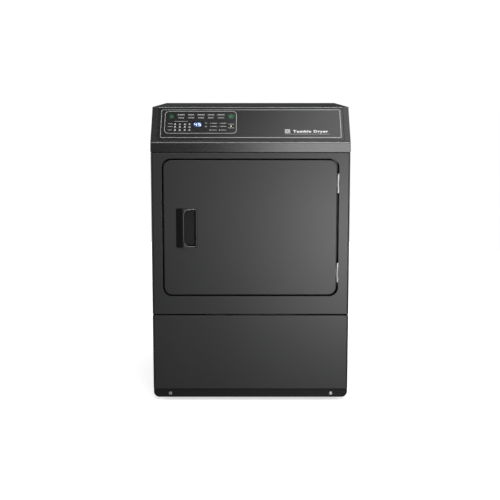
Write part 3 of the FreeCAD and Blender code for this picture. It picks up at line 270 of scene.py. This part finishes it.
def disc(x, y, radius, steps=20):
    """Outline of a circle."""
    return [(x + radius * math.cos(2 * math.pi * i / steps),
             y + radius * math.sin(2 * math.pi * i / steps)) for i in range(steps)]


def rectangle(x0, x1, y0, y1):
    """Outline of a rectangle, in the same order as rounded gives."""
    return [(x1, y1), (x0, y1), (x0, y0), (x1, y0)]


def sweep(work, path, ring):
    """Closed tube round a path of points; ring is its section, a list of (sideways, forward) pairs,
    and forward is -Y."""
    forward = Vector((0, -1, 0))
    count = len(path)
    loops = []
    for i, (x, y, z) in enumerate(path):
        along = (Vector(path[(i + 1) % count]) - Vector(path[i - 1])).normalized()
        side = along.cross(forward).normalized()
        loops.append([work.verts.new(Vector((x, y, z)) + side * a + forward * b) for a, b in ring])
    size = len(ring)
    for i in range(count):
        a, b = loops[i], loops[(i + 1) % count]
        for k in range(size):
            n = (k + 1) % size
            work.faces.new((a[k], a[n], b[n], b[k]))


# ------------------------------------------------------------------ control panel prints

RUN, RISE = 0.091, 0.109  # how far the console's slope goes back and up
REACH = math.hypot(RUN, RISE)
FOOT_Y, FOOT_Z = -0.3355, 0.915  # the slope's lower edge
FACE = 0.0015  # height of the control face over the fascia
CAP = 0.0023  # height of a key's top over the fascia
PRINT = 0.00012  # thickness of a print
OUTLINE = 0.0002  # thickness of the fine silver lines
WORDS_LEVEL = 0.00165  # height of the words over the fascia
HALO_LEVEL, DIGITS_LEVEL = 0.00128, 0.00142  # the display's glow, and the digits in front of it

# Centres of the keys in mm, across the console and up its slope.
CYCLE_KEYS_X = [-240 + 34.3 * i for i in range(5)]
OPTION_KEYS = [(-127 + 32 * column, 75 - 13.5 * row) for row in range(2) for column in range(2)]
ARROW_X, UP_V, DOWN_V = -153.5, 76, 61
POWER_X, START_X, TOP_ROW_V = -273, -67, 105


def on_slope(x, v, lift):
    """A point x across, v up the console's slope and lift out of it."""
    return Vector((x, FOOT_Y + v * RUN / REACH - lift * RISE / REACH,
                   FOOT_Z + v * RISE / REACH + lift * RUN / REACH))


def print_piece(name, shapes, material, body="cabinet", level=FACE,
                thick=PRINT):
    """Flat shapes, with points in mm on the slope, printed at a level over the fascia."""
    def build(work):
        for shape in shapes:
            prism(work, [(x / 1000, v / 1000) for x, v in shape], level, level + thick, on_slope)
    add_piece(name, build, material, body)


def outline_piece(name, x0, x1, v0, v1, radius, wide, material):
    """A fine printed line round a rounded rectangle on the slope, in mm."""
    outer = rounded(x0, x1, v0, v1, [radius] * 4)
    inner = rounded(x0 + wide, x1 - wide, v0 + wide, v1 - wide, [radius - wide] * 4)
    lines = [[(x / 1000, v / 1000) for x, v in line] for line in (outer, inner)]
    add_piece(name, lambda work: frame_prism(work, *lines, FACE, FACE + OUTLINE, on_slope),
              material, "cabinet")


outline_piece("panel_outline", -309.0, 311.0, 14.0, 135.0, 4.5, 1.5, SILVER)
outline_piece("key_zone_outline", -296, -48, 32.0, 128.0, 14, 1.5, SILVER)


def dashes(x0, x1, v, tall, seed):
    """A line of short bars of varied width, which stands for a printed label."""
    pick = random.Random(seed)
    shapes, x = [], x0
    while x < x1 - 0.8:
        wide = min(pick.uniform(1.2, 3.4), x1 - x)
        shapes.append(rectangle(x, x + wide, v - tall / 2, v + tall / 2))
        x += wide + pick.uniform(0.5, 0.9)
    return shapes


for i, (x, long) in enumerate(zip(CYCLE_KEYS_X, (12.5, 10.5, 12.0, 11.0, 12.5))):
    lines = dashes(x - long, x + long, 112.0, 4.2, i) + dashes(x - 9, x + 9.5, 98.5, 3.8, 20 + i)
    print_piece(f"cycle_legend_{i + 1}", lines, LEGEND, f"cycle_key_{i + 1}", CAP)

for i, (x, v) in enumerate(OPTION_KEYS):
    print_piece(f"option_legend_{i + 1}", dashes(x - 7, x + 11.5, v, 3.0, 40 + i)
                + [disc(x - 10.5, v, 1.3)], LEGEND, f"option_key_{i + 1}", CAP)

for name, v, way in (("up", UP_V, 1), ("down", DOWN_V, -1)):
    arrow = [(ARROW_X - 3.2 * way, v - 1.8 * way), (ARROW_X + 3.2 * way, v - 1.8 * way),
             (ARROW_X, v + 2.6 * way)]
    print_piece(f"{name}_arrow", [arrow], LEGEND, f"{name}_key", CAP)


def ring_mark(x, v, radius, wide, start=0.0, end=2 * math.pi, steps=28):
    """Four-sided shapes that together make a whole ring, or a part of one from start to end."""
    shapes = []
    for i in range(steps):
        a = start + (end - start) * i / steps
        b = start + (end - start) * (i + 1) / steps
        shapes.append([(x + r * math.cos(t), v + r * math.sin(t))
                       for r, t in ((radius, a), (radius, b), (radius - wide, b), (radius - wide, a))])
    return shapes


power_ring = ring_mark(POWER_X, TOP_ROW_V - 0.5, 5.2, 1.3, math.radians(125), math.radians(415))
power_bar = rectangle(POWER_X - 0.7, POWER_X + 0.7, TOP_ROW_V, TOP_ROW_V + 6)
start_ring = ring_mark(START_X, TOP_ROW_V, 8.0, 1.2)
start_arrow = [(START_X - 2.6, TOP_ROW_V - 4), (START_X + 4.2, TOP_ROW_V),
               (START_X - 2.6, TOP_ROW_V + 4)]
for name, shapes in (("power", [*power_ring, power_bar]), ("start", [*start_ring, start_arrow])):
    print_piece(f"{name}_symbol", shapes, GREEN_GLOW, f"{name}_key", CAP)

grid, lamps, marks = [], [], []
for row, v in enumerate((71.5, 59.5, 46.5)):
    for column, x in enumerate((-259.5, -243, -226, -210)):
        grid += dashes(x - 4.6, x + 4.6, v - 3.1, 1.3, 60 + 4 * row + column)
        marks.append([(x - 3.2, v - 0.9), (x + 3.2, v - 0.9), (x, v + 3.4)])
grid += dashes(-284, -268, 74, 2.6, 90) + dashes(-284, -268, 61.5, 2.6, 91)
grid += dashes(-284, -270, 47, 2.8, 92) + dashes(-262, -216, 84, 1.8, 93)
for k, (x, _) in enumerate(OPTION_KEYS[:2]):
    grid += dashes(x - 7, x + 12, 46.5, 2.6, 95 + k)
    lamps.append(disc(x - 11, 46.5, 1.4))
grid += dashes(-76, -57, 72, 2.6, 98) + dashes(-77, -56, 56, 2.4, 99)
print_piece("label_lines", grid, LEGEND)
print_piece("status_lamps", lamps, WHITE_GLOW)
print_piece("label_marks", marks, WHITE)
print_piece("lit_lamps", [disc(START_X, 63.5, 1.9)], WARM_GLOW)

SEGMENTS = {"4": "fgbc", "5": "afgcd"}
DIGIT_V, DIGIT_WIDE, DIGIT_TALL = 63.5, 7.5, 13  # lower edge, width and height in mm
STROKE, STROKE_GAP = 2.2, 0.25  # width of a bar, and the gap at its ends


def digit(symbol, x):
    """The lit bars of a seven-segment digit whose left edge is at x."""
    v, wide, tall, thick, gap = DIGIT_V, DIGIT_WIDE, DIGIT_TALL, STROKE, STROKE_GAP
    mid = v + tall / 2
    bars = {
        "a": (x + gap, x + wide - gap, v + tall - thick, v + tall),
        "g": (x + gap, x + wide - gap, mid - thick / 2, mid + thick / 2),
        "d": (x + gap, x + wide - gap, v, v + thick),
        "f": (x - thick / 2, x + thick / 2, mid + gap, v + tall - gap),
        "b": (x + wide - thick / 2, x + wide + thick / 2, mid + gap, v + tall - gap),
        "c": (x + wide - thick / 2, x + wide + thick / 2, v + gap, mid - gap),
    }
    return [rectangle(*bars[k]) for k in SEGMENTS[symbol]]


print_piece("display_digits", digit("4", -193) + digit("5", -179.5), BLUE_GLOW,
            level=DIGITS_LEVEL)
print_piece("display_halo", [rounded(-197, -167, 59.5, 80.5, [8] * 4)], BACKLIGHT,
            level=HALO_LEVEL, thick=0.0001)


def add_words(name, words, x, v, height, material):
    """Bold words on the control face, turned into a flat mesh; x is their left and right in mm."""
    curve = bpy.data.curves.new(name, "FONT")
    curve.body = words
    curve.size = 1.0
    curve.offset = 0.022
    curve.space_character = 1.12
    curve.resolution_u = 3
    flat = bpy.data.objects.new(name + "_text", curve)
    bpy.context.scene.collection.objects.link(flat)
    bpy.context.view_layer.update()
    mesh = bpy.data.meshes.new_from_object(flat.evaluated_get(bpy.context.evaluated_depsgraph_get()))
    bpy.data.objects.remove(flat)
    low = min(p.co.x for p in mesh.vertices)
    high = max(p.co.x for p in mesh.vertices)
    for vertex in mesh.vertices:
        share, up = (vertex.co.x - low) / (high - low), vertex.co.y * height
        vertex.co = on_slope((x[0] + share * (x[1] - x[0])) / 1000, (v + up) / 1000, WORDS_LEVEL)
    mesh.materials.append(material)
    piece = bpy.data.objects.new(name, mesh)
    bpy.context.scene.collection.objects.link(piece)
    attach(piece, "cabinet")


add_words("generic_wordmark", "Tumble Dryer", (146, 266), 36.0, 14.5, WHITE)
print_piece("care_symbol", ring_mark(127, 41.5, 4.6, 1.5)
            + [rectangle(118.5, 135.5, 47.6, 49.0), rectangle(118.5, 135.5, 34.0, 35.4),
               rectangle(118.5, 120.0, 35.4, 47.6), rectangle(134.0, 135.5, 35.4, 47.6)], WHITE)
print_piece("small_print", dashes(118, 270, 29.3, 1.5, 120), LEGEND)


# ------------------------------------------------- edge highlight beads, handle, screws, screen, feet and rear labels

DOOR_FACE = -0.3445  # Y of the door's outside
MIDDLE = 0.617  # Z of the middle of the door and its handle


def tube_ring(radius, steps=10):
    """Round section of a bead."""
    return [(radius * math.cos(2 * math.pi * i / steps), radius * math.sin(2 * math.pi * i / steps))
            for i in range(steps)]


def add_edge_highlight(name, half, y, z, radius):
    """A fine rolled edge bead that runs across the cabinet, half to each side of its middle; its light
    metallic colour is a painted highlight on the dark edge.
    """
    def build(work):
        ring = tube_ring(radius)
        ends = [[work.verts.new((x, y + a, z + b)) for a, b in ring] for x in (-half, half)]
        for i in range(len(ring)):
            j = (i + 1) % len(ring)
            work.faces.new((ends[0][i], ends[0][j], ends[1][j], ends[1][i]))
        for end in ends:
            work.faces.new(end)
    add_piece(name, build, EDGE_HIGHLIGHT, "cabinet")


# lighter beads along the rail's top edge and the top's nose: painted highlights on the charcoal edges
add_edge_highlight("rail_edge_highlight", 0.3385, -0.3352, 0.9113, 0.0012)
add_edge_highlight("nose_edge_highlight", 0.3395, -0.2399, 1.0270, 0.0010)


def build_rim(work):
    """A bead round the handle's cup, which climbs the ramp on its left; its light metallic colour is a
    painted highlight along the cup's rim.
    """
    line = rounded(-0.2299, -0.1866, MIDDLE - 0.0646, MIDDLE + 0.0646, [0.005, 0.02, 0.024, 0.005], 10)
    path = []
    for x, z in line:
        climb = max(0.0, min(1.0, (-0.200 - x) / 0.029))
        path.append((x, DOOR_FACE - 0.0014 - 0.0067 * climb, z))
    sweep(work, path, tube_ring(0.0011))


add_piece("handle_rim_highlight_bead", build_rim, RIM_HIGHLIGHT, "door")


def screw_head(work, x, y, z, radius, toward):
    """A domed screw head with a round socket in its middle; toward is the way it faces."""
    steps = 20
    normal = Vector(toward)
    side = normal.orthogonal().normalized()
    up = normal.cross(side)
    centre = Vector((x, y, z))
    high = 0.0022
    profile = [(radius, 0.0), (radius, 0.3), (radius * 0.86, 0.62), (radius * 0.5, 0.86),
               (radius * 0.3, 0.88), (radius * 0.26, 0.4)]
    loops = []
    for r, t in profile:
        loops.append([work.verts.new(centre + (side * math.cos(a) + up * math.sin(a)) * r
                                     + normal * t * high)
                      for a in (2 * math.pi * i / steps for i in range(steps))])
    for a, b in zip(loops, loops[1:]):
        for i in range(steps):
            j = (i + 1) % steps
            work.faces.new((a[i], a[j], b[j], b[i]))
    work.faces.new(loops[-1])
    work.faces.new(list(reversed(loops[0])))


SCREW_RADIUS = 0.004
LINER_BACK, RECESS_FLOOR = -0.3213, -0.3145  # Y of the faces that the screws sit on
LINER_SCREWS = ((-0.27, 0.41), (0.27, 0.41), (-0.27, 0.824), (0.27, 0.824), (-0.27, 0.70),
                (-0.27, 0.53), (0.0, 0.404), (0.0, 0.832))
RECESS_SCREWS = ((-0.262, 0.392), (-0.262, 0.842), (0.262, 0.392), (0.262, 0.842))


def add_screws(name, places, y, way, body):
    """Screw heads at (x, z) places on a face at y, which faces way along Y."""
    def build(work):
        for x, z in places:
            screw_head(work, x, y, z, SCREW_RADIUS, (0, way, 0))
    add_piece(name, build, STEEL, body)


add_screws("liner_screws", LINER_SCREWS, LINER_BACK, 1, "door")
add_screws("recess_screws", RECESS_SCREWS, RECESS_FLOOR, -1, "cabinet")


def plain(x, y, z):
    """Places a prism with its outline flat and its height along Z."""
    return Vector((x, y, z))


WIRE = 0.0003  # half of a wire's width
PITCH = 0.004  # from wire to wire
FILTER_Y = -0.2898  # where the upright and the level wires touch
FILTER_LOW, FILTER_HIGH = 0.235, 0.414


def build_screen(work):
    """A fine grid of square wires in each window of the lint filter."""
    for left in (-0.138, -0.044, 0.050):
        right = left + 0.088
        for k in range(1, 22):
            x = left + PITCH * k
            prism(work, rectangle(x - WIRE, x + WIRE, FILTER_Y, FILTER_Y + 2 * WIRE), FILTER_LOW,
                  FILTER_HIGH, plain)
        for k in range(1, 45):
            z = FILTER_LOW + PITCH * k
            prism(work, rectangle(left, right, FILTER_Y - 2 * WIRE, FILTER_Y), z - WIRE, z + WIRE,
                  plain)


add_piece("lint_screen", build_screen, SCREEN, "filter")

FOOT_RIM, FOOT_RIBS, RIB = 0.0191, 24, 0.0012  # radius of the rim, ribs on it, radius of a rib


def build_tread(work):
    """Rings of small ribs on the rims of the four feet."""
    for x in (-0.290, 0.290):
        for y in (-0.272, 0.255):
            for rim_x, rim_y in disc(x, y, FOOT_RIM, FOOT_RIBS):
                prism(work, disc(rim_x, rim_y, RIB, 8), 0.001, 0.0055, plain)


add_piece("foot_ribs", build_tread, RUBBER, "cabinet")

REAR = 0.3075  # outside of the rear panel


def on_back(x, z, lift):
    """A point on the rear panel's outside, lifted off it."""
    return Vector((x, REAR + lift, z))


def back_print(name, shapes, material, level):
    """Flat shapes, with points in mm, printed on the rear panel."""
    def build(work):
        for shape in shapes:
            prism(work, [(x / 1000, z / 1000) for x, z in shape], level, level + PRINT, on_back)
    add_piece(name, build, material, "cabinet")


PLATE_LIFT = 0.0001
back_print("rating_plate", [rounded(40, 150, 700, 770, [4] * 4),
                            rounded(-150, -70, 705, 765, [4] * 4)], WHITE, PLATE_LIFT)
rows = []
for k, start in enumerate((46, 62, 51, 72, 48, 94)):
    rows += dashes(start, 144, 760 - 10 * k, 4.0, 140 + k)
for k, start in enumerate((-144, -130, -138, -118)):
    rows += dashes(start, -76, 754 - 12 * k, 4.5, 150 + k)
back_print("rating_plate_lines", rows, POCKET_SHADE_AND_PLATE_INK, PLATE_LIFT + PRINT)


# ------------------------------------------------------------------ studio


def staged(name, work, material):
    """Makes an object of the studio, which is not part of the dryer, from a bmesh."""
    mesh = bpy.data.meshes.new(name)
    work.to_mesh(mesh)
    work.free()
    thing = bpy.data.objects.new(name, mesh)
    mesh.materials.append(material)
    bpy.context.scene.collection.objects.link(thing)
    return thing


FLOOR_RADIUS, DOME_RADIUS = 3.2, 29
floor_work = bmesh.new()
bmesh.ops.create_circle(floor_work, cap_ends=True, radius=FLOOR_RADIUS, segments=96)
FLOOR = finish_of("pale_floor", (0.86, 0.86, 0.86), 0.9, vary=0.01, specular=0.0, cloud=1.0,
                  grain=30.0, bump=0.0)
floor_shader = nodes_of(FLOOR)[1]
floor_shader.inputs["Emission Color"].default_value = (1, 1, 1, 1)
floor_shader.inputs["Emission Strength"].default_value = 0.62
floor = staged("floor", floor_work, FLOOR)
floor.visible_diffuse = False
floor.visible_glossy = False

dome_work = bmesh.new()
bmesh.ops.create_icosphere(dome_work, subdivisions=4, radius=DOME_RADIUS)
DOME = bpy.data.materials.new("white_backdrop")
dome_shader = nodes_of(DOME)[1]
dome_shader.inputs["Base Color"].default_value = (0, 0, 0, 1)
dome_shader.inputs["Emission Color"].default_value = (1, 1, 1, 1)
dome_shader.inputs["Emission Strength"].default_value = 1.0
dome = staged("backdrop", dome_work, DOME)
dome.visible_diffuse = False
dome.visible_glossy = False
dome.visible_transmission = False
dome.visible_shadow = False
dome.visible_volume_scatter = False

world = bpy.data.worlds.new("studio")
bpy.context.scene.world = world
world.use_nodes = True
world.node_tree.nodes["Background"].inputs["Color"].default_value = (0.95, 0.97, 1.0, 1)
world.node_tree.nodes["Background"].inputs["Strength"].default_value = 0.12


def lamp(name, place, target, wide, tall, power):
    """A softbox of wide by tall metres at a place, turned to a target."""
    light = bpy.data.lights.new(name, "AREA")
    light.shape = "RECTANGLE"
    light.size, light.size_y = wide, tall
    light.energy = power
    thing = bpy.data.objects.new(name, light)
    thing.location = place
    thing.rotation_euler = (Vector(target) - Vector(place)).to_track_quat("-Z", "Y").to_euler()
    bpy.context.scene.collection.objects.link(thing)


lamp("right_softbox", (0.93, -3.3, 0.17), (0.1, -0.3, 0.22), 1.0, 0.3, 50)
lamp("rail_softbox", (0.75, -3.2, 2.2), (0.1, -0.34, 0.9), 1.35, 0.9, 28)
lamp("edge_strip", (0.0, -2.4, 3.3), (0.0, -0.34, 0.95), 3.0, 0.6, 34)
lamp("nose_strip", (0.0, 2.2, 3.2), (0.0, -0.24, 1.03), 3.0, 0.9, 12)
lamp("overhead_softbox", (1.0, -0.9, 3.4), (0.2, -0.3, 0.9), 2.2, 1.4, 38)
lamp("left_wall", (-3.4, 1.0, 1.3), (0, 1.0, 1.3), 3.4, 2.6, 75)
lamp("right_wall", (3.4, 1.0, 1.3), (0, 1.0, 1.3), 3.4, 2.6, 75)
lamp("rear_wall", (0.6, 3.4, 0.52), (0, 0, 0.5), 3.0, 0.95, 32)

LOOK_DOWN = 8.0  # degrees
camera = bpy.data.cameras.new("camera")
camera.lens = 71.9
camera.shift_y = -0.06
camera.sensor_width = 36
camera.clip_end = 100
view = bpy.data.objects.new("camera", camera)
view.location = (-0.0017, DOOR_FACE - 3.4, 1.123)
view.rotation_euler = (math.radians(90 - LOOK_DOWN), 0, 0)
bpy.context.scene.collection.objects.link(view)
bpy.context.scene.camera = view
bpy.context.scene.view_settings.view_transform = "Standard"
